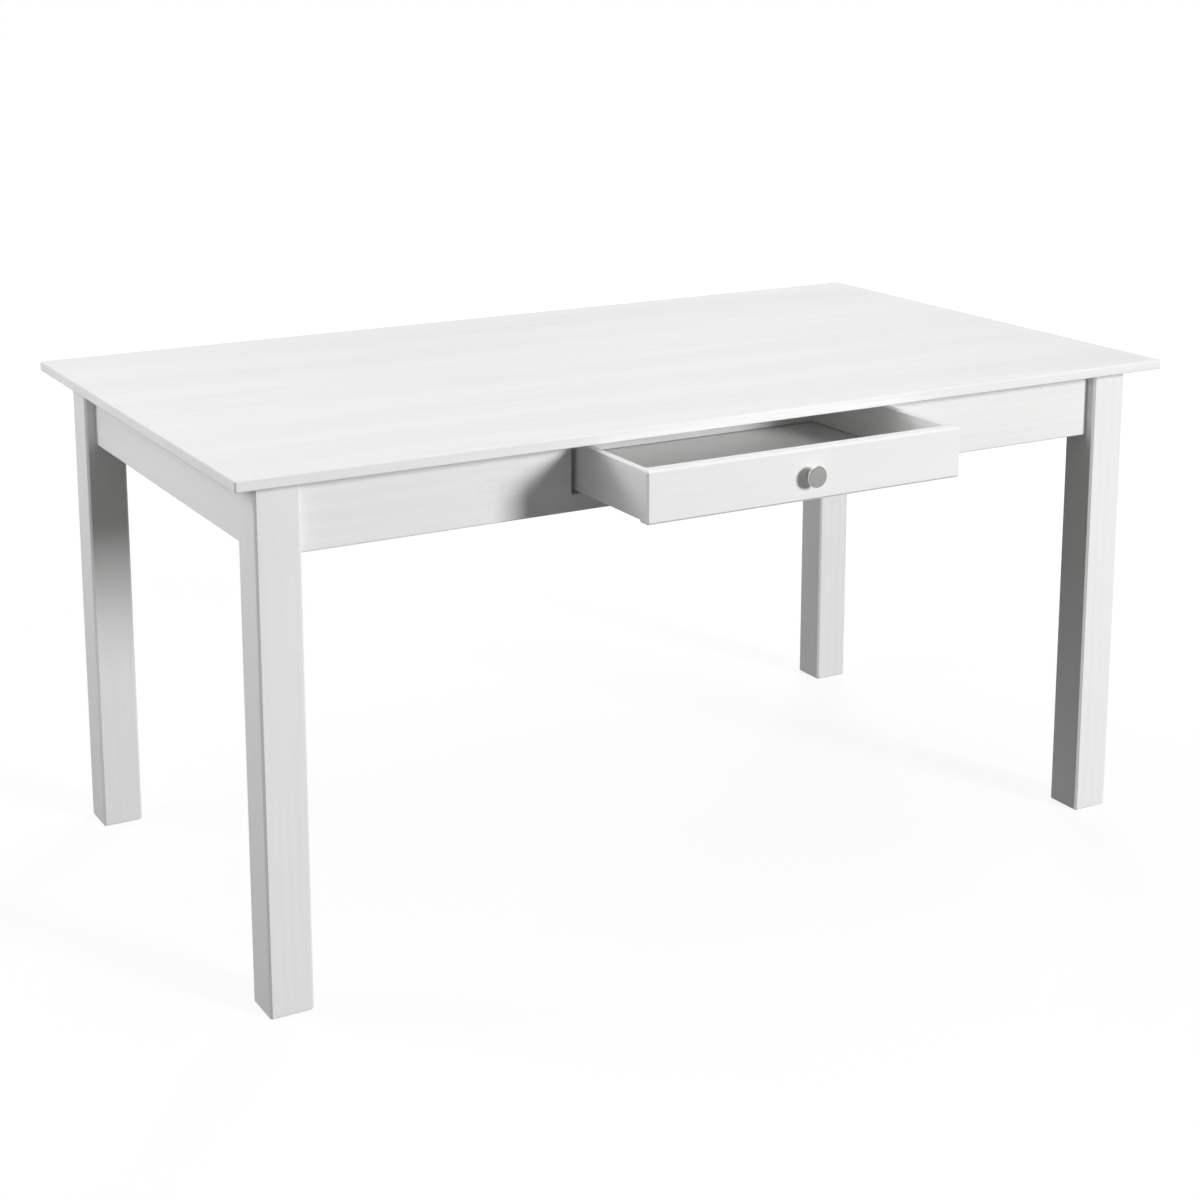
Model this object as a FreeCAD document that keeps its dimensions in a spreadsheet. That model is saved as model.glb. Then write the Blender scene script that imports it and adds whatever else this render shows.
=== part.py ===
import FreeCAD, Part
import os
import re

import Sketcher

# A white dining table with one drawer: a thin top on four square legs and a frame of aprons.
# X runs along the table, the drawer opens towards -Y and Z points up from the floor.

# Driving sizes, in millimetres
SIZES = {
    # Table top
    "table_height": 780,
    "top_length": 1600,
    "top_width": 900,
    "top_thickness": 16,
    "top_corner_round": 3,
    "top_edge_round": 2,
    "overhang": 40,
    # Legs
    "leg_side": 65,
    "leg_chamfer": 3.3,
    "foot_ease": 1.5,
    # Aprons, and the drawer opening in the front one
    "apron_setback": 17,
    "apron_thickness": 22,
    "apron_height": 110,
    "apron_edge_round": 3,
    "opening_width": 550,
    "rail_height": 26,
    # Drawer, pulled out by drawer_pull from its place flush with the apron
    "drawer_pull": 200,
    "front_side_gap": 6.5,
    "front_rise": 1.5,
    "front_height": 76,
    "front_thickness": 20,
    "front_corner_round": 3.5,
    "front_chamfer": 3,
    "front_rear_round": 1.5,
    "box_inset": 1,
    "box_lift": 3.5,
    "box_length": 350,
    "box_side_height": 71,
    "box_side_thickness": 12,
    "box_edge_round": 1.2,
    "box_back_thickness": 12,
    "box_back_inset": 3,
    "box_back_drop": 4,
    "box_back_gap": 1.5,
    "panel_thickness": 4,
    "panel_lift": 6,
    "panel_slack": 0.5,
    "groove_depth": 6,
    "groove_slack": 1.2,
    # Runners under the drawer sides and kickers above them
    "running_gap": 0.3,
    "guide_gap": 1.5,
    "guide_width": 26,
    "guide_rise": 30,
    "ledge_height": 16,
    "ledge_spare": 8,
    "kicker_gap": 1,
    "kicker_width": 36,
    "kicker_length": 400,
    # Corner braces and the bolts that draw the legs to them
    "brace_reach": 100,
    "brace_thickness": 25,
    "brace_height": 80,
    "brace_lift": 15,
    "brace_screw_seat": 12,
    "brace_screw_inset": 15,
    "bolt_radius": 4,
    "bolt_grip": 45,
    "bolt_spare": 6,
    "bolt_spacing": 34,
    "bolt_tip": 6,
    "bolt_end_chamfer": 0.8,
    "washer_radius": 9,
    "washer_thickness": 1.6,
    "nut_across_flats": 13,
    "nut_height": 6.5,
    # Cleats that carry the top
    "cleat_side": 20,
    "cleat_gap": 10,
    "screw_margin": 30,
    # Wood screws
    "screw_radius": 2,
    "screw_head_radius": 4,
    "screw_head_height": 2.6,
    "screw_tip": 5,
    "apron_bite": 14,
    "top_bite": 10,
    # Dowels and nails
    "dowel_chamfer": 0.8,
    "apron_dowel_radius": 5,
    "apron_dowel_length": 50,
    "apron_dowel_inset": 18,
    "runner_dowel_radius": 4,
    "runner_dowel_length": 32,
    "runner_dowel_bite": 12,
    "box_dowel_radius": 3,
    "box_dowel_length": 30,
    "box_dowel_front_bite": 12,
    "box_dowel_side_bite": 8,
    "box_dowel_low": 26,
    "box_dowel_high": 54,
    "nail_radius": 0.8,
    "nail_head_radius": 2,
    "nail_head_height": 0.8,
    "nail_length": 22,
    "nail_margin": 60,
    # Knob and its screw
    "knob_projection": 19,
    "knob_radius": 16,
    "knob_rim": 3.6,
    "knob_rim_round": 1.6,
    "knob_face_round": 3,
    "knob_base_radius": 8,
    "knob_screw_radius": 2,
    "knob_screw_head_radius": 4.2,
    "knob_screw_head_height": 2.5,
    "knob_screw_bite": 11,
    # Play between a fastener and its bore
    "fit_clearance": 0.1,
}

# Places and sizes that follow from the driving ones. Half distances are measured from the
# table's middle planes: x = 0, and y = mid_y, which centres the box round the open drawer.
PLACES = {
    "mid_y": "max(0; (drawer_pull + knob_projection - overhang - apron_setback) / 2)",
    "under_top": "table_height - top_thickness",
    "leg_out_x": "top_length / 2 - overhang",
    "leg_out_y": "top_width / 2 - overhang",
    "leg_in_x": "leg_out_x - leg_side",
    "leg_in_y": "leg_out_y - leg_side",
    "apron_out_x": "leg_out_x - apron_setback",
    "apron_out_y": "leg_out_y - apron_setback",
    "apron_in_x": "apron_out_x - apron_thickness",
    "apron_in_y": "apron_out_y - apron_thickness",
    "apron_base": "under_top - apron_height",
    "inner_front": "mid_y - apron_in_y",
    "inner_rear": "mid_y + apron_in_y",
    # Drawer
    "front_half": "opening_width / 2 - front_side_gap",
    "front_face": "mid_y - apron_out_y - drawer_pull",
    "front_base": "apron_base + rail_height + front_rise",
    "box_front": "front_face + front_thickness",
    "box_rear": "box_front + box_length",
    "box_base": "front_base + box_lift",
    "box_top": "box_base + box_side_height",
    "box_out": "front_half - box_inset",
    "box_in": "box_out - box_side_thickness",
    "back_rear": "box_rear - box_back_inset",
    "back_front": "back_rear - box_back_thickness",
    "panel_base": "box_base + panel_lift",
    "panel_top": "panel_base + panel_thickness",
    "knob_z": "front_base + front_height / 2",
    # Runners and kickers
    "runner_in": "box_in - ledge_spare",
    "runner_out": "box_out + guide_gap + guide_width",
    "runner_width": "runner_out - runner_in",
    "runner_height": "ledge_height + guide_rise",
    "runner_base": "box_base - running_gap - ledge_height",
    "kicker_in": "box_out - (box_side_thickness + kicker_width) / 2",
    "kicker_base": "box_top + kicker_gap",
    "kicker_thickness": "under_top - kicker_base",
    # Braces and bolts: distances along the corner's diagonal from the aprons' inner corner
    "brace_run": "brace_thickness * sqrt(2)",
    "brace_base": "apron_base + brace_lift",
    "brace_face": "brace_reach / sqrt(2)",
    "nut_face": "brace_face + washer_thickness",
    "bolt_end": "nut_face + nut_height + bolt_spare",
    "leg_corner": "(leg_side - apron_setback - apron_thickness) * sqrt(2)",
    "bolt_length": "bolt_end - leg_corner + bolt_grip",
    # Cleats
    "cleat_base": "under_top - cleat_side",
    "cleat_end_x": "apron_in_x - brace_reach - cleat_gap",
    "cleat_end_y": "apron_in_y - brace_reach - cleat_gap",
    "cleat_near_x": "runner_out + cleat_gap",
}

TINY = 1e-6
UP = (0, 0, 1)
LEFT_RIGHT = {"left": -1, "right": 1}
FRONT_REAR = {"front": -1, "rear": 1}
CORNERS = [(end, side) for end in FRONT_REAR for side in LEFT_RIGHT]
QUARTER_TURNS = {("front", "left"): 0, ("front", "right"): 90, ("rear", "right"): 180, ("rear", "left"): 270}

doc = FreeCAD.newDocument("tavern_table")
pieces = []


# The two sheets

def cells(expression):
    """The expression with each named size or place led to its sheet."""
    def lead(match):
        name = match.group()
        if name in SIZES:
            return "Sizes." + name
        return "Places." + name if name in PLACES else name
    return re.sub(r"[a-z]\w*", lead, expression)


def fill_sheet(name, contents):
    sheet = doc.addObject("Spreadsheet::Sheet", name)
    for row, (alias, content) in enumerate(contents.items(), 1):
        sheet.set(f"A{row}", alias)
        sheet.set(f"B{row}", content)
        sheet.setAlias(f"B{row}", alias)
    doc.recompute()
    return sheet


sizes = fill_sheet("Sizes", {name: str(value) for name, value in SIZES.items()})
places = fill_sheet("Places", {name: "=" + cells(formula) for name, formula in PLACES.items()})


# Ways of making a piece

def number(expression):
    return float(places.evalExpression(cells(expression)))


def bind(item, prop, expression):
    item.setExpression(prop, cells(expression))


def place(item, x, y, z, rotation=None):
    if rotation:
        item.Placement = FreeCAD.Placement(FreeCAD.Vector(), rotation)
    for axis, expression in zip("xyz", (x, y, z)):
        bind(item, "Placement.Base." + axis, expression)


def new_body(label):
    return doc.addObject("PartDesign::Body", label)


def outline(body, role, corners):
    """A closed outline on a plane of the body."""
    sketch = body.newObject("Sketcher::SketchObject", body.Name + "_outline")
    plane = next(feature for feature in body.Origin.OriginFeatures if feature.Role == role)
    sketch.AttachmentSupport = [(plane, "")]
    sketch.MapMode = "FlatFace"
    points = [FreeCAD.Vector(number(x), number(y), 0) for x, y in corners]
    for side, start in enumerate(points):
        end = points[(side + 1) % len(points)]
        sketch.addGeometry(Part.LineSegment(start, end))
    for side, (x, y) in enumerate(corners):
        sketch.addConstraint(Sketcher.Constraint("Coincident", side - 1 if side else len(corners) - 1, 2, side, 1))
        for kind, axis, name, expression in (("DistanceX", -2, "x", x), ("DistanceY", -1, "y", y)):
            if expression == "0":
                sketch.addConstraint(Sketcher.Constraint("PointOnObject", side, 1, axis))
                continue
            constraint = Sketcher.Constraint(kind, -1, 1, side, 1, number(expression))
            sketch.renameConstraint(sketch.addConstraint(constraint), f"{name}{side}")
            bind(sketch, f"Constraints.{name}{side}", expression)
    return sketch


def pad(body, sketch, length, backwards=False):
    feature = body.newObject("PartDesign::Pad", body.Name + "_pad")
    feature.Profile = sketch
    feature.Reversed = backwards
    bind(feature, "Length", length)
    doc.recompute()


def board(label, length, depth, height):
    """A plain board with its lowest corner at its own origin."""
    body = new_body(label)
    corners = [("0", "0"), (length, "0"), (length, depth), ("0", depth)]
    pad(body, outline(body, "XY_Plane", corners), height)
    return body


def turned(label, corners):
    """A round piece: half its section, as radius and height, turned about its own Z axis."""
    body = new_body(label)
    feature = body.newObject("PartDesign::Revolution", label + "_turning")
    feature.Profile = outline(body, "XZ_Plane", corners)
    feature.ReferenceAxis = (feature.Profile[0], ["V_Axis"])
    doc.recompute()
    return body


def ease(body, kind, prop, size, wanted):
    """Round or chamfer the edges of the body that the test picks."""
    base = body.Tip
    feature = body.newObject("PartDesign::" + kind, f"{body.Name}_{kind.lower()}")
    feature.Base = (base, [f"Edge{i}" for i, edge in enumerate(base.Shape.Edges, 1) if wanted(edge)])
    bind(feature, prop, size)
    doc.recompute()


def upright(edge):
    return edge.BoundBox.XLength + edge.BoundBox.YLength < TINY


def lowest(edge):
    return edge.BoundBox.ZMax < TINY


def level(edge):
    return edge.BoundBox.ZLength < TINY


def group(label, master, spots):
    """Copies of one piece, each driven along its direction from its spot."""
    links = []
    for x, y, z, direction in spots:
        link = doc.addObject("App::Link", label + "_copy")
        link.LinkedObject = master
        link.LinkTransform = False
        place(link, x, y, z, FreeCAD.Rotation(FreeCAD.Vector(*UP), FreeCAD.Vector(*direction)))
        links.append(link)
    compound = doc.addObject("Part::Compound", label)
    compound.Links = links
    doc.recompute()
    return compound


def fasteners(label, section, spots):
    """A group of equal round fasteners, as a piece of the table, and the bores that take them."""
    pieces.append(group(label, turned(label + "_one", section("0")), spots))
    return group(label + "_bores", turned(label + "_bore", section("fit_clearance")), spots)


def drilled(label, blank, *cutters):
    """The finished piece: the blank less the bores and slots that lie in it."""
    tools = doc.addObject("Part::Compound", label + "_cutters")
    tools.Links = cutters
    cut = doc.addObject("Part::Cut", label)
    cut.Base = blank
    cut.Tool = tools
    doc.recompute()
    if not cut.Shape.Volume < blank.Shape.Volume:
        raise RuntimeError(label + ": nothing was cut")
    pieces.append(cut)


def spread(start, end, margin, count, between=False):
    """Evenly spaced places, a margin in from both ends, or the places halfway between those."""
    step = f"({end} - ({start}) - 2 * {margin}) / {count - 1}"
    turns = [i + 0.5 for i in range(count - 1)] if between else range(count)
    return [f"{start} + {margin} + {i} * {step}" for i in turns]


# Sections of the round fasteners. Each takes what its radius grows by: nothing, or the play of its bore.

def screw_section(length):
    def section(grow):
        shank = f"screw_radius + {grow}"
        return [("0", "0"), (f"screw_head_radius + {grow}", "0"), (shank, "screw_head_height"),
                (shank, f"{length} - screw_tip"), ("0", length)]
    return section


def dowel_section(radius, length):
    def section(grow):
        if grow != "0":
            return [("0", "0"), (f"{radius} + {grow}", "0"), (f"{radius} + {grow}", length), ("0", length)]
        narrow = f"{radius} - dowel_chamfer"
        return [("0", "0"), (narrow, "0"), (radius, "dowel_chamfer"), (radius, f"{length} - dowel_chamfer"),
                (narrow, length), ("0", length)]
    return section


def headed_section(radius, length, head_radius, head_height):
    def section(grow):
        shank = f"{radius} + {grow}"
        return [("0", "0"), (f"{head_radius} + {grow}", "0"), (f"{head_radius} + {grow}", head_height),
                (shank, head_height), (shank, length), ("0", length)]
    return section


def bolt_section(grow):
    radius = f"bolt_radius + {grow}"
    return [("0", "0"), (f"{radius} - bolt_end_chamfer", "0"), (radius, "bolt_end_chamfer"),
            (radius, "bolt_length - bolt_tip"), ("0", "bolt_length")]


# Places of the fasteners

def diagonal_spots(distance):
    """Two heights on each corner's diagonal, the given distance from the aprons' inner corner."""
    spots = []
    for end, side in CORNERS:
        sx, sy = LEFT_RIGHT[side], FRONT_REAR[end]
        for up in (-1, 1):
            spots.append((f"{sx} * (apron_in_x - {distance} / sqrt(2))",
                          f"mid_y + {sy} * (apron_in_y - {distance} / sqrt(2))",
                          f"brace_base + (brace_height + {up} * bolt_spacing) / 2", (sx, sy, 0)))
    return spots


def apron_dowel_spots():
    """Each apron's dowels start inside the apron and run into the leg."""
    spots = []
    for end, side in CORNERS:
        sx, sy = LEFT_RIGHT[side], FRONT_REAR[end]
        for z in ("apron_base + apron_dowel_inset", "under_top - apron_dowel_inset"):
            spots.append((f"{sx} * (leg_in_x - apron_dowel_length / 2)",
                          f"mid_y + {sy} * (apron_out_y - apron_thickness / 2)", z, (sx, 0, 0)))
            spots.append((f"{sx} * (apron_out_x - apron_thickness / 2)",
                          f"mid_y + {sy} * (leg_in_y - apron_dowel_length / 2)", z, (0, sy, 0)))
    return spots


def brace_screw_spots(inwards=False):
    """Screws from each end of a brace, square to the apron it sits on, or the same the other way."""
    way = -1 if inwards else 1
    along = "(brace_reach - brace_run / 2)"
    spots = []
    for end, side in CORNERS:
        sx, sy = LEFT_RIGHT[side], FRONT_REAR[end]
        for z in ("brace_base + brace_screw_inset", "brace_base + brace_height - brace_screw_inset"):
            spots.append((f"{sx} * (apron_in_x - {along})", f"mid_y + {sy} * (apron_in_y - brace_screw_seat)", z,
                          (0, way * sy, 0)))
            spots.append((f"{sx} * (apron_in_x - brace_screw_seat)", f"mid_y + {sy} * (apron_in_y - {along})", z,
                          (way * sx, 0, 0)))
    return spots


# Each cleat: its span along its apron, how many screws hold it to the apron, and the way to that apron
CLEATS = {
    "cleat_front_left": ("-cleat_end_x", "-cleat_near_x", 3, (0, -1)),
    "cleat_front_right": ("cleat_near_x", "cleat_end_x", 3, (0, -1)),
    "cleat_rear": ("-cleat_end_x", "cleat_end_x", 5, (0, 1)),
    "cleat_left": ("mid_y - cleat_end_y", "mid_y + cleat_end_y", 3, (-1, 0)),
    "cleat_right": ("mid_y - cleat_end_y", "mid_y + cleat_end_y", 3, (1, 0)),
}


def cleat_across(outward, off):
    """A place across a cleat, off the inner face of its apron."""
    if outward[0]:
        return f"{outward[0]} * (apron_in_x - {off})"
    return f"mid_y + {outward[1]} * (apron_in_y - {off})"


def cleat_spots(into_top):
    """Screws along the cleats: outwards into the aprons, or between those up into the top."""
    spots = []
    for start, end, count, outward in CLEATS.values():
        for along in spread(start, end, "screw_margin", count, between=into_top):
            across = cleat_across(outward, "cleat_side / 2" if into_top else "cleat_side")
            z = "cleat_base" if into_top else "cleat_base + cleat_side / 2"
            direction = UP if into_top else (*outward, 0)
            spots.append((across, along, z, direction) if outward[0] else (along, across, z, direction))
    return spots


def kicker_spots():
    return [(f"{sx} * (kicker_in + kicker_width / 2)", y, "kicker_base", UP)
            for sx in LEFT_RIGHT.values()
            for y in spread("inner_front", "(inner_front + kicker_length)", "screw_margin", 3)]


def runner_dowel_spots():
    """From each long apron into the end of each runner."""
    return [(f"{sx} * (runner_out - guide_width / 2)", f"mid_y + {sy} * (apron_in_y + runner_dowel_bite)",
             "runner_base + runner_height / 2", (0, -sy, 0))
            for sx in LEFT_RIGHT.values() for sy in FRONT_REAR.values()]


def box_dowel_spots():
    """From the drawer front into the sides, and from the sides into the back."""
    spots = []
    for sx in LEFT_RIGHT.values():
        for up in ("box_dowel_low", "box_dowel_high"):
            z = f"box_base + {up}"
            spots.append((f"{sx} * (box_out + box_in) / 2", "box_front - box_dowel_front_bite", z, (0, 1, 0)))
            spots.append((f"{sx} * (box_in + box_dowel_side_bite)", "(back_front + back_rear) / 2", z, (-sx, 0, 0)))
    return spots


def nail_spots():
    return [(x, "(back_front + back_rear) / 2", "panel_base - nail_head_height", UP)
            for x in spread("-box_in", "box_in", "nail_margin", 4)]


# The fasteners, and the bores that the wooden pieces need for them

bolt_bores = fasteners("hanger_bolts", bolt_section, diagonal_spots("bolt_end"))
apron_dowel_bores = fasteners(
    "apron_dowels", dowel_section("apron_dowel_radius", "apron_dowel_length"), apron_dowel_spots())
brace_screw_bores = fasteners(
    "brace_screws", screw_section("(brace_screw_seat + apron_bite)"), brace_screw_spots())
cleat_apron_bores = fasteners(
    "cleat_apron_screws", screw_section("(cleat_side + apron_bite)"), cleat_spots(into_top=False))
cleat_top_bores = fasteners(
    "cleat_top_screws", screw_section("(cleat_side + top_bite)"), cleat_spots(into_top=True))
kicker_bores = fasteners("kicker_screws", screw_section("(kicker_thickness + top_bite)"), kicker_spots())
runner_dowel_bores = fasteners(
    "runner_dowels", dowel_section("runner_dowel_radius", "runner_dowel_length"), runner_dowel_spots())
box_dowel_bores = fasteners(
    "drawer_dowels", dowel_section("box_dowel_radius", "box_dowel_length"), box_dowel_spots())
nail_bores = fasteners(
    "drawer_bottom_nails",
    headed_section("nail_radius", "nail_length", "nail_head_radius", "nail_head_height"), nail_spots())
knob_screw_bores = fasteners(
    "knob_screw",
    headed_section("knob_screw_radius", "(knob_screw_head_height + front_thickness + knob_screw_bite)",
                   "knob_screw_head_radius", "knob_screw_head_height"),
    [("0", "box_front + knob_screw_head_height", "knob_z", (0, -1, 0))])

bore = "bolt_radius + fit_clearance"
washer = turned("bolt_washer", [(bore, "0"), ("washer_radius", "0"), ("washer_radius", "washer_thickness"),
                                (bore, "washer_thickness")])
pieces.append(group("bolt_washers", washer, diagonal_spots("nut_face")))


def hexagon_nut():
    blank = doc.addObject("Part::Prism", "bolt_nut_blank")
    blank.Polygon = 6
    bind(blank, "Circumradius", "nut_across_flats / sqrt(3)")
    bind(blank, "Height", "nut_height")
    thread = doc.addObject("Part::Cylinder", "bolt_nut_thread")
    bind(thread, "Radius", bore)
    bind(thread, "Height", "nut_height")
    nut = doc.addObject("Part::Cut", "bolt_nut")
    nut.Base = blank
    nut.Tool = thread
    return nut


pieces.append(group("bolt_nuts", hexagon_nut(), diagonal_spots("(nut_face + nut_height)")))


# Table top

def tabletop():
    blank = board("tabletop_blank", "top_length", "top_width", "top_thickness")
    ease(blank, "Fillet", "Radius", "top_corner_round", upright)
    ease(blank, "Fillet", "Radius", "top_edge_round", level)
    place(blank, "-top_length / 2", "mid_y - top_width / 2", "under_top")
    drilled("tabletop", blank, cleat_top_bores, kicker_bores)


# Legs

def legs():
    for end, side in CORNERS:
        label = f"leg_{end}_{side}"
        blank = board(label + "_blank", "leg_side", "leg_side", "under_top")
        ease(blank, "Chamfer", "Size", "leg_chamfer", upright)
        ease(blank, "Chamfer", "Size", "foot_ease", lowest)
        x = "-leg_out_x" if side == "left" else "leg_in_x"
        y = "mid_y - leg_out_y" if end == "front" else "mid_y + leg_in_y"
        place(blank, x, y, "0")
        drilled(label, blank, bolt_bores, apron_dowel_bores)


# Aprons

def long_apron(label, corners, y):
    body = new_body(label + "_blank")
    pad(body, outline(body, "XZ_Plane", corners), "apron_thickness", backwards=True)
    ease(body, "Fillet", "Radius", "apron_edge_round", lambda edge: lowest(edge) and edge.BoundBox.XLength > TINY)
    place(body, "-leg_in_x", y, "apron_base")
    drilled(label, body, apron_dowel_bores, brace_screw_bores, cleat_apron_bores, runner_dowel_bores)


def aprons():
    start, end = "leg_in_x - opening_width / 2", "leg_in_x + opening_width / 2"
    notch = [(end, "apron_height"), (end, "rail_height"), (start, "rail_height"), (start, "apron_height")]
    bottom = [("0", "0"), ("2 * leg_in_x", "0"), ("2 * leg_in_x", "apron_height")]
    top_left = [("0", "apron_height")]
    long_apron("front_apron", bottom + notch + top_left, "mid_y - apron_out_y")
    long_apron("rear_apron", bottom + top_left, "mid_y + apron_in_y")
    for side, x in (("left", "-apron_out_x"), ("right", "apron_in_x")):
        label = side + "_apron"
        blank = board(label + "_blank", "apron_thickness", "2 * leg_in_y", "apron_height")
        ease(blank, "Fillet", "Radius", "apron_edge_round",
             lambda edge: lowest(edge) and edge.BoundBox.YLength > TINY)
        place(blank, x, "mid_y - leg_in_y", "apron_base")
        drilled(label, blank, apron_dowel_bores, brace_screw_bores, cleat_apron_bores)


# Corner braces: the same block at each corner, turned by quarters

def braces():
    well = doc.addObject("Part::Cylinder", "brace_screw_well")
    bind(well, "Radius", "screw_head_radius + fit_clearance")
    bind(well, "Height", "brace_run")
    wells = group("brace_screw_wells", well, brace_screw_spots(inwards=True))
    near = "brace_reach - brace_run"
    for end, side in CORNERS:
        label = f"corner_brace_{end}_{side}"
        body = new_body(label + "_blank")
        corners = [(near, "0"), ("brace_reach", "0"), ("0", "brace_reach"), ("0", near)]
        pad(body, outline(body, "XY_Plane", corners), "brace_height")
        place(body, f"{LEFT_RIGHT[side]} * apron_in_x", f"mid_y + {FRONT_REAR[end]} * apron_in_y", "brace_base",
              FreeCAD.Rotation(FreeCAD.Vector(*UP), QUARTER_TURNS[end, side]))
        drilled(label, body, bolt_bores, brace_screw_bores, wells)


# Cleats

def cleats():
    for label, (start, end, count, outward) in CLEATS.items():
        span = f"{end} - ({start})"
        across = cleat_across(outward, "cleat_side" if sum(outward) > 0 else "0")
        if outward[0]:
            blank = board(label + "_blank", "cleat_side", span, "cleat_side")
            place(blank, across, start, "cleat_base")
        else:
            blank = board(label + "_blank", span, "cleat_side", "cleat_side")
            place(blank, start, across, "cleat_base")
        drilled(label, blank, cleat_apron_bores, cleat_top_bores)


# Drawer runners and kickers. The runner's ledge carries the drawer side and its guide keeps it straight.

def runners():
    guide = "runner_width - guide_width"
    corners = [("0", "0"), ("runner_width", "0"), ("runner_width", "runner_height"), (guide, "runner_height"),
               (guide, "ledge_height"), ("0", "ledge_height")]
    for side, sign in LEFT_RIGHT.items():
        label = "drawer_runner_" + side
        body = new_body(label + "_blank")
        pad(body, outline(body, "XZ_Plane", corners), "2 * apron_in_y", backwards=True)
        start, turn = ("inner_front", 0) if side == "right" else ("inner_rear", 180)
        place(body, f"{sign} * runner_in", start, "runner_base", FreeCAD.Rotation(FreeCAD.Vector(*UP), turn))
        drilled(label, body, runner_dowel_bores)


def kickers():
    for side, x in (("left", "-kicker_in - kicker_width"), ("right", "kicker_in")):
        label = "drawer_kicker_" + side
        blank = board(label + "_blank", "kicker_width", "kicker_length", "kicker_thickness")
        place(blank, x, "inner_front", "kicker_base")
        drilled(label, blank, kicker_bores)


# Drawer

def drawer():
    slot = doc.addObject("Part::Box", "drawer_bottom_groove")
    bind(slot, "Length", "2 * (box_in + groove_depth)")
    bind(slot, "Width", "box_length + groove_depth")
    bind(slot, "Height", "panel_thickness + groove_slack")
    place(slot, "-box_in - groove_depth", "box_front - groove_depth", "panel_base")

    front = board("drawer_front_blank", "2 * front_half", "front_thickness", "front_height")
    rear = number("front_thickness") - TINY
    ease(front, "Fillet", "Radius", "front_corner_round", lambda edge: edge.BoundBox.YLength > TINY)
    ease(front, "Chamfer", "Size", "front_chamfer", lambda edge: edge.BoundBox.YMax < TINY)
    ease(front, "Fillet", "Radius", "front_rear_round", lambda edge: edge.BoundBox.YMin > rear)
    place(front, "-front_half", "front_face", "front_base")
    drilled("drawer_front", front, slot, box_dowel_bores, knob_screw_bores)

    for side, x in (("left", "-box_out"), ("right", "box_in")):
        label = "drawer_side_" + side
        blank = board(label + "_blank", "box_side_thickness", "box_length", "box_side_height")
        ease(blank, "Fillet", "Radius", "box_edge_round", lambda edge: level(edge) and edge.BoundBox.YLength > TINY)
        place(blank, x, "box_front", "box_base")
        drilled(label, blank, slot, box_dowel_bores)

    back = board("drawer_back_blank", "2 * box_in", "box_back_thickness",
                 "box_top - box_back_drop - panel_top - box_back_gap")
    place(back, "-box_in", "back_front", "panel_top + box_back_gap")
    drilled("drawer_back", back, box_dowel_bores, nail_bores)

    reach = "box_in + groove_depth - panel_slack"
    panel_front = "box_front - groove_depth + panel_slack"
    panel = board("drawer_bottom_blank", f"2 * ({reach})", f"back_rear - ({panel_front})", "panel_thickness")
    place(panel, f"-({reach})", panel_front, "panel_base")
    drilled("drawer_bottom", panel, nail_bores)


# Knob: it flares straight from its base to its rim, and its flat face rolls over into the rim

def knob():
    corners = [("0", "0"), ("knob_base_radius", "0"), ("knob_radius", "knob_projection - knob_rim"),
               ("knob_radius", "knob_projection"), ("0", "knob_projection")]
    blank = turned("drawer_knob_blank", corners)
    widest, face = number("knob_radius") - TINY, number("knob_projection") - TINY
    ease(blank, "Fillet", "Radius", "knob_rim_round",
         lambda edge: edge.BoundBox.XMax > widest and level(edge) and edge.BoundBox.ZMax < face)
    ease(blank, "Fillet", "Radius", "knob_face_round",
         lambda edge: edge.BoundBox.XMax > widest and level(edge) and edge.BoundBox.ZMin > face)
    place(blank, "0", "front_face", "knob_z", FreeCAD.Rotation(FreeCAD.Vector(*UP), FreeCAD.Vector(0, -1, 0)))
    drilled("drawer_knob", blank, knob_screw_bores)


tabletop()
legs()
aprons()
braces()
cleats()
runners()
kickers()
drawer()
knob()
doc.recompute()

# Nothing is written unless every object of the document came out whole
for item in doc.Objects:
    if {"Invalid", "Error"} & set(item.State):
        raise RuntimeError(f"{item.Label}: {item.State}")
for piece in pieces:
    if piece.Shape.isNull() or not piece.Shape.isValid() or not piece.Shape.Solids:
        raise RuntimeError(piece.Label + ": no valid solid")

os.makedirs("parts", exist_ok=True)
for piece in pieces:
    piece.Shape.exportStep(f"parts/{piece.Label}.step")
print(len(pieces), "pieces,", sum(len(piece.Shape.Solids) for piece in pieces), "solids")
print("box", Part.makeCompound([piece.Shape for piece in pieces]).BoundBox)
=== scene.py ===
import math

import bpy
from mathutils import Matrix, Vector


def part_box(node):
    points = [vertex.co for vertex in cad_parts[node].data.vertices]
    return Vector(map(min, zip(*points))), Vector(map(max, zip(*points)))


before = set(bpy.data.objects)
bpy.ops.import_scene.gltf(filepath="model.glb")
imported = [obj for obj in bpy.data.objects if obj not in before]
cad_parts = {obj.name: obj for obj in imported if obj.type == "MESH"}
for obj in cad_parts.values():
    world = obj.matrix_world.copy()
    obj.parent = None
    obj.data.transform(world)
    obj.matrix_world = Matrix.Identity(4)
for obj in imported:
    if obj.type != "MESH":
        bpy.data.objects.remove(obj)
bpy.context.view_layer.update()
print("table loaded:", len(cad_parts), "pieces")


# small helpers for shader trees; those that work something out return its socket

def addNode(mat, kind, **settings):
    node = mat.node_tree.nodes.new(kind)
    for name, value in settings.items():
        setattr(node, name, value)
    return node


def plug(mat, socket, value):
    if isinstance(value, bpy.types.NodeSocket):
        mat.node_tree.links.new(value, socket)
    else:
        socket.default_value = value


def plugAll(mat, node, values):
    for socket, value in zip(node.inputs, values):
        plug(mat, socket, value)
    return node


def calc(mat, operation, *values):
    return plugAll(mat, addNode(mat, "ShaderNodeMath", operation=operation), values).outputs[0]


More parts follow.
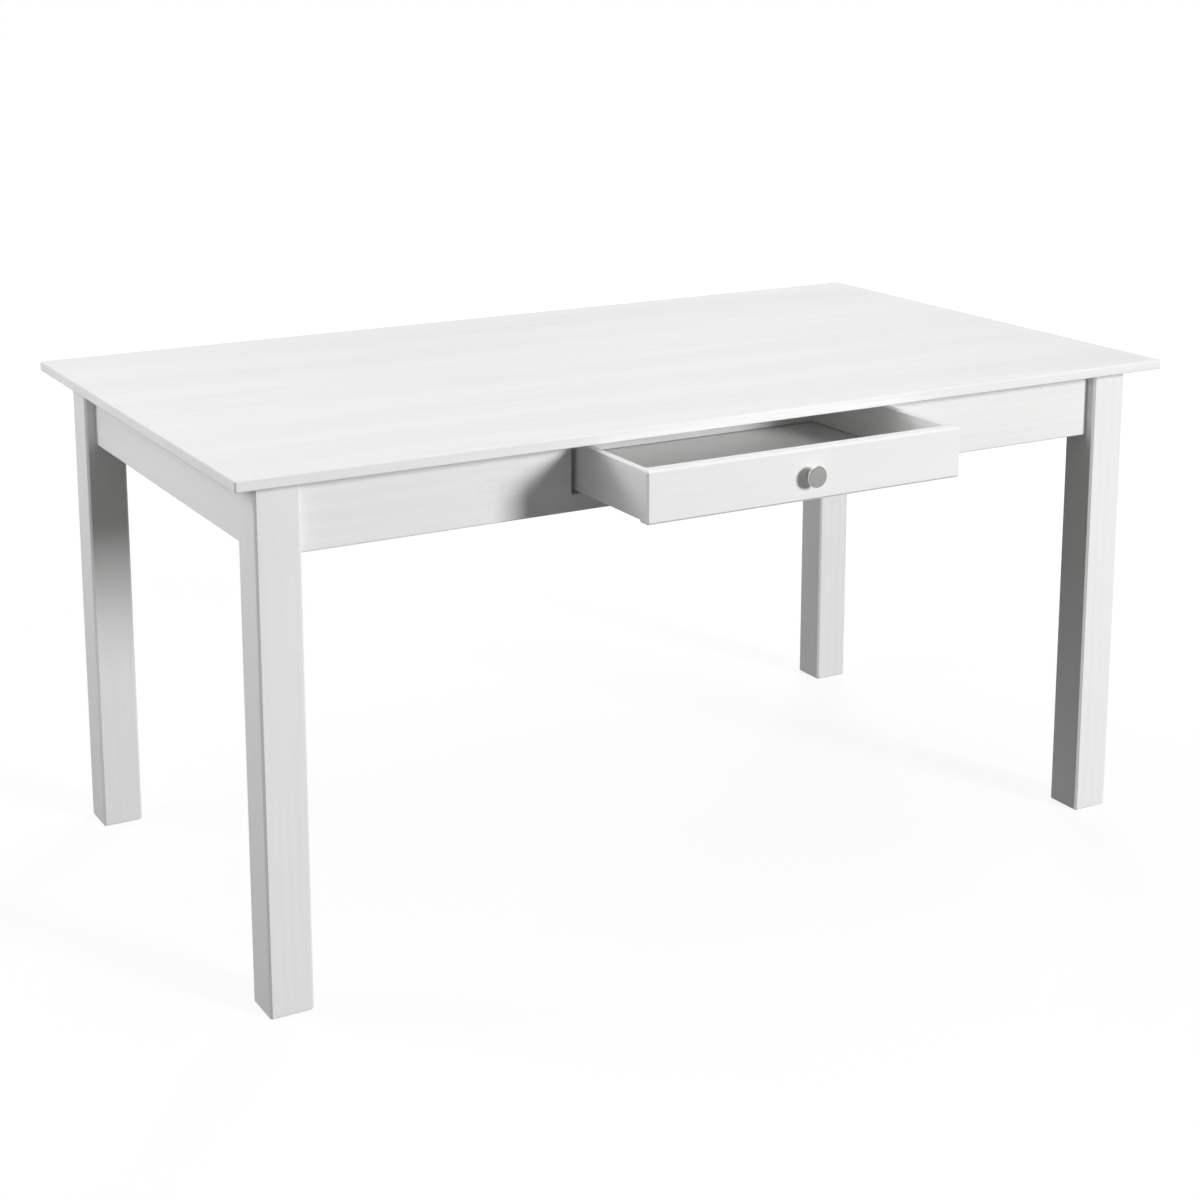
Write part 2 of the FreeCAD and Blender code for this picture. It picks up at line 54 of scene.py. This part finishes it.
def vectorCalc(mat, operation, *values):
    return plugAll(mat, addNode(mat, "ShaderNodeVectorMath", operation=operation), values).outputs[0]


def vectorLength(mat, value):
    return plugAll(mat, addNode(mat, "ShaderNodeVectorMath", operation="LENGTH"), [value]).outputs["Value"]


def split(mat, value):
    return plugAll(mat, addNode(mat, "ShaderNodeSeparateXYZ"), [value]).outputs


def join(mat, x=0.0, y=0.0, z=0.0):
    return plugAll(mat, addNode(mat, "ShaderNodeCombineXYZ"), [x, y, z]).outputs[0]


def remap(mat, value, fromLow, fromHigh, toLow=0.0, toHigh=1.0):
    node = addNode(mat, "ShaderNodeMapRange", interpolation_type="SMOOTHSTEP")
    return plugAll(mat, node, [value, fromLow, fromHigh, toLow, toHigh]).outputs[0]


def swing(mat, value, size):
    # a noise value turned into a shift to either side
    return calc(mat, "MULTIPLY", calc(mat, "SUBTRACT", value, 0.5), size)


def mixColour(mat, factor, first, second):
    node = addNode(mat, "ShaderNodeMix", data_type="RGBA")
    plug(mat, node.inputs[0], factor)
    plug(mat, node.inputs[6], first)
    plug(mat, node.inputs[7], second)
    return node.outputs[2]


def noise(mat, coords, stretch, detail=3.0, roughness=0.55):
    mapping = addNode(mat, "ShaderNodeMapping")
    mapping.inputs["Scale"].default_value = stretch
    plug(mat, mapping.inputs["Vector"], coords)
    texture = addNode(mat, "ShaderNodeTexNoise")
    texture.inputs["Scale"].default_value = 1.0
    texture.inputs["Detail"].default_value = detail
    texture.inputs["Roughness"].default_value = roughness
    plug(mat, texture.inputs["Vector"], mapping.outputs[0])
    return texture.outputs[0]


def bump(mat, height, look, under=None):
    node = addNode(mat, "ShaderNodeBump")
    node.inputs["Strength"].default_value = look["reliefStrength"]
    node.inputs["Distance"].default_value = look["relief"]
    plug(mat, node.inputs["Height"], height)
    if under is not None:
        plug(mat, node.inputs["Normal"], under)
    return node.outputs[0]


def startMaterial(name):
    mat = bpy.data.materials.new(name)
    mat.use_nodes = True
    return mat, mat.node_tree.nodes["Principled BSDF"]


def objectCoords(mat):
    return addNode(mat, "ShaderNodeTexCoord").outputs["Object"]


grainTurns = {
    "x": (0, 0, 0),
    "y": (0, 0, -math.pi / 2),
    "z": (0, math.pi / 2, 0),
    "diagonal": (0, 0, math.pi / 4),
    "otherDiagonal": (0, 0, -math.pi / 4),
}
grainShift = (1.37, 0.61, 0.83)


def grainCoords(mat, coords, grain, seed):
    # turns the board's grain to run along X, and shifts it so that no two boards match
    mapping = addNode(mat, "ShaderNodeMapping")
    mapping.inputs["Location"].default_value = [seed * step for step in grainShift]
    mapping.inputs["Rotation"].default_value = grainTurns[grain]
    plug(mat, mapping.inputs["Vector"], coords)
    return mapping.outputs[0]


def edgeDistance(mat, coords, lo, hi):
    # distance from a point on a board's face to the nearest edge of the board
    middle, half = (lo + hi) / 2, (hi - lo) / 2
    offset = vectorCalc(mat, "ABSOLUTE", vectorCalc(mat, "SUBTRACT", coords, tuple(middle)))
    x, y, z = split(mat, vectorCalc(mat, "SUBTRACT", tuple(half), offset))
    low = calc(mat, "MINIMUM", x, y)
    high = calc(mat, "MAXIMUM", x, y)
    return calc(mat, "MAXIMUM", low, calc(mat, "MINIMUM", high, z))


def wear(mat, node):
    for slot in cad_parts[node].material_slots:
        slot.material = mat
    print("finish:", node, "->", mat.name)


# white paint over pine: the growth rings show faintly through it, and it is thinner along each board's edges

paint = {
    "white": (0.835, 0.835, 0.83, 1),
    "grainTone": (0.735, 0.737, 0.733, 1),
    "edgeTone": (0.70, 0.69, 0.665, 1),
    "knotTone": (0.68, 0.675, 0.66, 1),
    "ringSpacing": 0.0105,
    "ringSlant": 0.55,
    "ringShare": 0.6,
    "drift": 0.085,
    "driftScale": (0.75, 4.5, 4.5),
    "waver": 0.009,
    "waverScale": (3.2, 26.0, 26.0),
    "streaks": (2.4, 210.0, 210.0),
    "streakRange": (0.36, 0.68),
    "streakShare": 0.4,
    "patches": (0.8, 13.0, 13.0),
    "patchRange": (0.34, 0.66),
    "faintest": 0.15,
    "edgeWidth": 0.004,
    "edgeShow": 0.20,
    "rubbed": (30.0, 90.0, 90.0),
    "rubbedRange": (0.40, 0.62),
    "brush": (14.0, 1100.0, 1100.0),
    "brushHeight": 0.35,
    "grainHeight": -0.65,
    "relief": 0.0002,
    "reliefStrength": 0.5,
    "roughness": 0.45,
    "patchRoughness": 0.08,
    "rubbedSmoothness": 0.06,
    "gloss": 0.38,
}
# sizes of a knot's features, as multiples of the knot's own size where they are lengths
knotLook = {
    "partLong": 6.5,
    "partWide": 2.6,
    "part": 0.8,
    "squeeze": 0.42,
    "ragged": 0.7,
    "raggedScale": (60.0, 60.0, 60.0),
    "ringRate": 5.2,
    "ringRange": (-0.2, 0.9),
    "ringShow": 0.20,
    "fadeFrom": 0.8,
    "fadeTo": 2.6,
    "heartFrom": 0.5,
    "heartTo": 0.9,
    "heartShow": 0.30,
    "relief": 0.0002,
    "reliefStrength": 0.5,
}
topKnots = [
    {"at": (-0.550, -0.124, 0.0), "across": "y", "size": 0.009},
    {"at": (0.262, 0.3155, 0.0), "across": "y", "size": 0.006},
]
apronKnots = [{"at": (-0.402, 0.0, 0.709), "across": "z", "size": 0.007}]
paintedBoards = {
    "tabletop": {"grain": "x", "show": 0.80, "knots": topKnots},
    "front_apron": {"grain": "x", "show": 0.42, "knots": apronKnots},
    "rear_apron": {"grain": "x", "show": 0.42, "knots": []},
    "left_apron": {"grain": "y", "show": 0.42, "knots": []},
    "right_apron": {"grain": "y", "show": 0.42, "knots": []},
    "leg_front_left": {"grain": "z", "show": 0.36, "knots": []},
    "leg_front_right": {"grain": "z", "show": 0.36, "knots": []},
    "leg_rear_left": {"grain": "z", "show": 0.36, "knots": []},
    "leg_rear_right": {"grain": "z", "show": 0.36, "knots": []},
    "drawer_front": {"grain": "x", "show": 0.30, "knots": []},
    "drawer_side_left": {"grain": "y", "show": 0.36, "knots": []},
    "drawer_side_right": {"grain": "y", "show": 0.36, "knots": []},
    "drawer_back": {"grain": "x", "show": 0.36, "knots": []},
}


def knotOffset(mat, coords, knot):
    # how far a point lies from a knot, along the grain and across it
    x, y, z = split(mat, vectorCalc(mat, "SUBTRACT", coords, knot["at"]))
    return x, y if knot["across"] == "y" else z


def knotPush(mat, coords, knot, across):
    # the rings part round a knot
    endways, sideways = knotOffset(mat, coords, knot)
    long = calc(mat, "POWER", calc(mat, "DIVIDE", endways, knot["size"] * knotLook["partLong"]), 2.0)
    wide = calc(mat, "POWER", calc(mat, "DIVIDE", sideways, knot["size"] * knotLook["partWide"]), 2.0)
    near = calc(mat, "EXPONENT", calc(mat, "MULTIPLY", calc(mat, "ADD", long, wide), -1.0))
    push = calc(mat, "MULTIPLY", calc(mat, "MULTIPLY", sideways, near), knotLook["part"])
    return calc(mat, "SUBTRACT", across, push)


def addKnot(mat, coords, knot, colour, normal):
    # the knot itself: a darker heart with a few tight rings, pulled out along the grain
    endways, sideways = knotOffset(mat, coords, knot)
    size = knot["size"]
    flat = join(mat, calc(mat, "MULTIPLY", endways, knotLook["squeeze"]), sideways)
    ragged = calc(mat, "MULTIPLY", noise(mat, coords, knotLook["raggedScale"], 2.0), size * knotLook["ragged"])
    away = calc(mat, "ADD", vectorLength(mat, flat), ragged)
    rings = calc(mat, "SINE", calc(mat, "MULTIPLY", away, knotLook["ringRate"] / size))
    fade = remap(mat, away, size * knotLook["fadeFrom"], size * knotLook["fadeTo"], 1.0, 0.0)
    shown = calc(mat, "MULTIPLY", remap(mat, rings, *knotLook["ringRange"]), fade)
    heart = remap(mat, away, size * knotLook["heartFrom"], size * knotLook["heartTo"], 1.0, 0.0)
    tone = calc(mat, "MAXIMUM", calc(mat, "MULTIPLY", shown, knotLook["ringShow"]),
                calc(mat, "MULTIPLY", heart, knotLook["heartShow"]))
    return mixColour(mat, tone, colour, paint["knotTone"]), bump(mat, shown, knotLook, normal)


def paintedPine(node, look, seed):
    mat, shader = startMaterial("paint_" + node)
    coords = objectCoords(mat)
    lo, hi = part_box(node)
    along = grainCoords(mat, coords, look["grain"], seed)

    # growth rings: lines along the board that drift slowly across it and waver a little
    place = split(mat, along)
    across = calc(mat, "MULTIPLY_ADD", place[2], paint["ringSlant"], place[1])
    across = calc(mat, "ADD", across, swing(mat, noise(mat, along, paint["driftScale"], 2.0), paint["drift"]))
    across = calc(mat, "ADD", across, swing(mat, noise(mat, along, paint["waverScale"], 2.0), paint["waver"]))
    for knot in look["knots"]:
        across = knotPush(mat, coords, knot, across)
    rings = calc(mat, "SINE", calc(mat, "MULTIPLY", across, 2 * math.pi / paint["ringSpacing"]))
    rings = calc(mat, "MULTIPLY_ADD", rings, 0.5, 0.5)
    streaks = remap(mat, noise(mat, along, paint["streaks"], 3.0, 0.6), *paint["streakRange"])
    patches = remap(mat, noise(mat, along, paint["patches"], 2.0), *paint["patchRange"], paint["faintest"], 1.0)
    grain = calc(mat, "MULTIPLY_ADD", calc(mat, "MULTIPLY", rings, patches), paint["ringShare"],
                 calc(mat, "MULTIPLY", streaks, paint["streakShare"]))
    colour = mixColour(mat, calc(mat, "MULTIPLY", grain, look["show"]), paint["white"], paint["grainTone"])

    # thin, slightly rubbed paint along the edges
    edge = remap(mat, edgeDistance(mat, coords, lo, hi), 0.0, paint["edgeWidth"], 1.0, 0.0)
    patchy = remap(mat, noise(mat, along, paint["rubbed"], 3.0), *paint["rubbedRange"])
    worn = calc(mat, "MULTIPLY", edge, patchy)
    colour = mixColour(mat, calc(mat, "MULTIPLY", worn, paint["edgeShow"]), colour, paint["edgeTone"])

    brush = noise(mat, along, paint["brush"], 2.0, 0.5)
    height = calc(mat, "MULTIPLY_ADD", brush, paint["brushHeight"],
                  calc(mat, "MULTIPLY", grain, paint["grainHeight"]))
    rough = calc(mat, "MULTIPLY_ADD", patches, paint["patchRoughness"], paint["roughness"])
    rough = calc(mat, "SUBTRACT", rough, calc(mat, "MULTIPLY", worn, paint["rubbedSmoothness"]))
    normal = bump(mat, height, paint)
    for knot in look["knots"]:
        colour, normal = addKnot(mat, coords, knot, colour, normal)
    plug(mat, shader.inputs["Base Color"], colour)
    plug(mat, shader.inputs["Roughness"], rough)
    plug(mat, shader.inputs["Normal"], normal)
    shader.inputs["Specular IOR Level"].default_value = paint["gloss"]
    return mat


for seed, (node, look) in enumerate(paintedBoards.items(), 1):
    wear(paintedPine(node, look, seed), node)


# drawer bottom: thin board with a smooth white face, faintly mottled

panel = {
    "white": (0.92, 0.92, 0.915, 1),
    "mottle": (0.88, 0.88, 0.87, 1),
    "clouds": (9.0, 9.0, 9.0),
    "cloudRange": (0.35, 0.7),
    "cloudShow": 0.55,
    "specks": (420.0, 420.0, 420.0),
    "speckRange": (0.55, 0.8),
    "speckShow": 0.3,
    "roughness": 0.24,
    "cloudRoughness": 0.12,
    "relief": 0.0001,
    "reliefStrength": 0.4,
}


def panelFace():
    mat, shader = startMaterial("panel_face")
    coords = objectCoords(mat)
    cloud = noise(mat, coords, panel["clouds"], 4.0)
    speck = noise(mat, coords, panel["specks"], 2.0)
    tone = calc(mat, "MULTIPLY_ADD", remap(mat, cloud, *panel["cloudRange"]), panel["cloudShow"],
                calc(mat, "MULTIPLY", remap(mat, speck, *panel["speckRange"]), panel["speckShow"]))
    rough = calc(mat, "MULTIPLY_ADD", cloud, panel["cloudRoughness"], panel["roughness"])
    plug(mat, shader.inputs["Base Color"], mixColour(mat, tone, panel["white"], panel["mottle"]))
    plug(mat, shader.inputs["Roughness"], rough)
    plug(mat, shader.inputs["Normal"], bump(mat, speck, panel))
    return mat


wear(panelFace(), "drawer_bottom")


# bare wood on the hidden framing and the dowels

pine = {
    "pale": (0.735, 0.565, 0.365, 1),
    "late": (0.56, 0.365, 0.19, 1),
    "edgeTone": (0.42, 0.29, 0.17, 1),
    "sway": 0.03,
    "swayScale": (2.0, 9.0, 9.0),
    "rings": (1.5, 95.0, 95.0),
    "ringRange": (0.45, 0.66),
    "ringShow": 0.85,
    "pores": (30.0, 1300.0, 1300.0),
    "poreRange": (0.55, 0.75),
    "poreShow": 0.25,
    "poreHeight": 0.4,
    "edgeWidth": 0.0025,
    "edgeShow": 0.35,
    "roughness": 0.55,
    "ringRoughness": 0.14,
    "relief": 0.0003,
    "reliefStrength": 0.6,
}
barePieces = {
    "corner_brace_front_left": "diagonal",
    "corner_brace_front_right": "otherDiagonal",
    "corner_brace_rear_left": "otherDiagonal",
    "corner_brace_rear_right": "diagonal",
    "cleat_front_left": "x",
    "cleat_front_right": "x",
    "cleat_rear": "x",
    "cleat_left": "y",
    "cleat_right": "y",
    "drawer_runner_left": "y",
    "drawer_runner_right": "y",
    "drawer_kicker_left": "y",
    "drawer_kicker_right": "y",
    "apron_dowels": "x",
    "runner_dowels": "y",
    "drawer_dowels": "y",
}
firstBareSeed = 20


def barePine(node, grain, seed):
    mat, shader = startMaterial("pine_" + node)
    coords = objectCoords(mat)
    lo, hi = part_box(node)
    along = grainCoords(mat, coords, grain, seed)
    sway = swing(mat, noise(mat, along, pine["swayScale"], 1.0), pine["sway"])
    lines = vectorCalc(mat, "ADD", along, join(mat, y=sway, z=sway))
    rings = noise(mat, lines, pine["rings"], 2.0, 0.5)
    pores = noise(mat, lines, pine["pores"], 2.0)
    late = calc(mat, "MULTIPLY", remap(mat, rings, *pine["ringRange"]), pine["ringShow"])
    pitted = calc(mat, "MULTIPLY", remap(mat, pores, *pine["poreRange"]), pine["poreShow"])
    colour = mixColour(mat, late, pine["pale"], pine["late"])
    colour = mixColour(mat, pitted, colour, pine["late"])
    edge = remap(mat, edgeDistance(mat, coords, lo, hi), 0.0, pine["edgeWidth"], pine["edgeShow"], 0.0)
    rough = calc(mat, "MULTIPLY_ADD", rings, pine["ringRoughness"], pine["roughness"])
    height = calc(mat, "ADD", rings, calc(mat, "MULTIPLY", pores, pine["poreHeight"]))
    plug(mat, shader.inputs["Base Color"], mixColour(mat, edge, colour, pine["edgeTone"]))
    plug(mat, shader.inputs["Roughness"], rough)
    plug(mat, shader.inputs["Normal"], bump(mat, height, pine))
    return mat


for seed, (node, grain) in enumerate(barePieces.items(), firstBareSeed):
    wear(barePine(node, grain, seed), node)


# zinc-plated fasteners and the nickel knob

plate = {
    "clouds": (180.0, 180.0, 180.0),
    "cloudRange": (0.35, 0.7),
    "fine": (2600.0, 2600.0, 2600.0),
    "lathe": (3800.0, 1.0, 1.0),
    "latheFade": (0.001, 0.005),
    "fineRoughness": 0.16,
    "relief": 0.00004,
    "reliefStrength": 0.5,
}
zinc = {"bright": (0.66, 0.67, 0.69, 1), "dull": (0.48, 0.49, 0.50, 1), "roughness": 0.28}
# the painted highlight (a brighter metal colour) starts a little behind the knob's face; both places are measured
# from the knob's middle
nickel = {
    "bright": (0.345, 0.342, 0.335, 1),
    "dull": (0.32, 0.317, 0.31, 1),
    "paintedHighlight": (0.57, 0.565, 0.555, 1),
    "highlightRange": (-0.0092, -0.0072),
    "roughness": 0.17,
}
zincPieces = [
    "hanger_bolts", "bolt_washers", "bolt_nuts", "brace_screws", "cleat_apron_screws", "cleat_top_screws",
    "kicker_screws", "drawer_bottom_nails", "knob_screw",
]


def platedMetal(name, look, turnedAbout=None):
    mat, shader = startMaterial(name)
    coords = objectCoords(mat)
    cloud = noise(mat, coords, plate["clouds"], 3.0)
    fine = noise(mat, coords, plate["fine"], 2.0)
    colour = mixColour(mat, remap(mat, cloud, *plate["cloudRange"]), look["bright"], look["dull"])
    if turnedAbout:
        # fine rings left by the lathe, round the knob's own axis, that fade out at the middle
        x, y, z = split(mat, vectorCalc(mat, "SUBTRACT", coords, turnedAbout))
        radius = vectorLength(mat, join(mat, x=x, z=z))
        rings = noise(mat, join(mat, radius), plate["lathe"], 3.0)
        shown = remap(mat, radius, *plate["latheFade"])
        fine = calc(mat, "MULTIPLY_ADD", calc(mat, "SUBTRACT", rings, 0.5), shown, 0.5)
        # behind its brushed face the rim and the flare get a brighter metal colour: a painted highlight
        colour = mixColour(mat, remap(mat, y, *look["highlightRange"]), colour, look["paintedHighlight"])
    plug(mat, shader.inputs["Base Color"], colour)
    shader.inputs["Metallic"].default_value = 1.0
    rough = calc(mat, "MULTIPLY_ADD", fine, plate["fineRoughness"], look["roughness"])
    plug(mat, shader.inputs["Roughness"], rough)
    plug(mat, shader.inputs["Normal"], bump(mat, fine, plate))
    return mat


zincFinish = platedMetal("zinc_plate", zinc)
for node in zincPieces:
    wear(zincFinish, node)
knobLow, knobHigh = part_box("drawer_knob")
wear(platedMetal("satin_nickel", nickel, tuple((knobLow + knobHigh) / 2)), "drawer_knob")


# pale floor, white to the eye, that still takes the table's shadow

floorLook = {
    "size": 40.0,
    "colour": (0.12, 0.12, 0.12, 1),
    "liftNear": 0.89,
    "liftFar": 1.0,
    "near": 1.4,
    "far": 4.0,
}


def seenDirectly(mat):
    path = addNode(mat, "ShaderNodeLightPath")
    seen = calc(mat, "MAXIMUM", path.outputs["Is Camera Ray"], path.outputs["Is Glossy Ray"])
    return calc(mat, "MAXIMUM", seen, path.outputs["Is Transmission Ray"])


def makeFloor():
    bpy.ops.mesh.primitive_plane_add(size=floorLook["size"], location=(0, 0, 0))
    floor = bpy.context.object
    floor.name = "floor"
    mat, shader = startMaterial("floor_paper")
    shader.inputs["Base Color"].default_value = floorLook["colour"]
    shader.inputs["Roughness"].default_value = 1.0
    shader.inputs["Specular IOR Level"].default_value = 0.0
    shader.inputs["Emission Color"].default_value = (1, 1, 1, 1)
    # white to the eye: the lift grows outwards, where less lamp light falls
    away = vectorLength(mat, objectCoords(mat))
    lift = remap(mat, away, floorLook["near"], floorLook["far"], floorLook["liftNear"], floorLook["liftFar"])
    plug(mat, shader.inputs["Emission Strength"], calc(mat, "MULTIPLY", seenDirectly(mat), lift))
    floor.data.materials.append(mat)


makeFloor()


# soft studio light: a distant key from the front right, a broad box above, and weaker fills on the left and behind

surround = {"ambient": 0.2}
lamps = {
    "keyBox": {
        "at": (3.58, -7.85, 2.93), "aim": (0.0, 0.08, 0.6), "wide": 1.8, "high": 1.8,
        "power": 680.0, "spread": 180, "glare": False,
    },
    "overhead": {
        "at": (0.3, 0.05, 3.6), "aim": (0.0, 0.05, 0.7), "wide": 3.0, "high": 2.2,
        "power": 32.5, "spread": 180, "glare": True,
    },
    "leftRear": {
        "at": (-2.9, 1.5, 1.7), "aim": (0.0, 0.08, 0.6), "wide": 1.4, "high": 1.4,
        "power": 29.0, "spread": 180, "glare": True,
    },
    "leftSide": {
        "at": (-2.7, 0.25, 2.2), "aim": (-0.3, 0.0, 0.6), "wide": 1.4, "high": 1.4,
        "power": 9.5, "spread": 180, "glare": True,
    },
    "leftHigh": {
        "at": (-3.2, 1.6, 2.4), "aim": (-0.9, -0.5, 1.6), "wide": 1.2, "high": 1.2,
        "power": 6.2, "spread": 60, "glare": True,
    },
    "rearFill": {
        "at": (3.16, 3.86, 1.47), "aim": (0.0, 0.08, 0.5), "wide": 2.0, "high": 1.4,
        "power": 156.0, "spread": 180, "glare": False,
    },
}


def aimAt(obj, target):
    direction = obj.location - type(obj.location)(target)
    obj.rotation_euler = direction.to_track_quat("Z", "Y").to_euler()


def makeLamp(name, look):
    data = bpy.data.lights.new(name, "AREA")
    data.shape = "RECTANGLE"
    data.size, data.size_y = look["wide"], look["high"]
    data.energy = look["power"]
    data.spread = math.radians(look["spread"])
    lamp = bpy.data.objects.new(name, data)
    bpy.context.scene.collection.objects.link(lamp)
    lamp.location = look["at"]
    aimAt(lamp, look["aim"])
    lamp.visible_camera = False
    lamp.visible_glossy = look["glare"]  # off for the key and the rear fill, which would glare on the tabletop


def makeSurround():
    world = bpy.data.worlds.new("studio")
    world.use_nodes = True
    bpy.context.scene.world = world
    back = world.node_tree.nodes["Background"]
    back.inputs["Color"].default_value = (1, 1, 1, 1)
    strength = remap(world, seenDirectly(world), 0.0, 1.0, surround["ambient"], 1.0)
    plug(world, back.inputs["Strength"], strength)


for name, look in lamps.items():
    makeLamp(name, look)
makeSurround()
print("lamps:", ", ".join(lamps))


# camera: stands to the left of the drawer, above the table, and looks down a little

lens = {
    "at": (-1.7361, -2.9481, 1.4836),
    "turn": -29.776,
    "tilt": 11.386,
    "sensor": 36.0,
    "focal": 65.269,
    "shiftX": 0.0,
    "shiftY": -0.2,
}


def makeCamera():
    data = bpy.data.cameras.new("camera")
    data.sensor_width = lens["sensor"]
    data.lens = lens["focal"]
    data.shift_x, data.shift_y = lens["shiftX"], lens["shiftY"]
    camera = bpy.data.objects.new("camera", data)
    bpy.context.scene.collection.objects.link(camera)
    camera.location = lens["at"]
    camera.rotation_euler = (math.radians(90 - lens["tilt"]), 0, math.radians(lens["turn"]))
    bpy.context.scene.camera = camera


makeCamera()
bpy.context.scene.view_settings.view_transform = "Standard"
print("camera set")
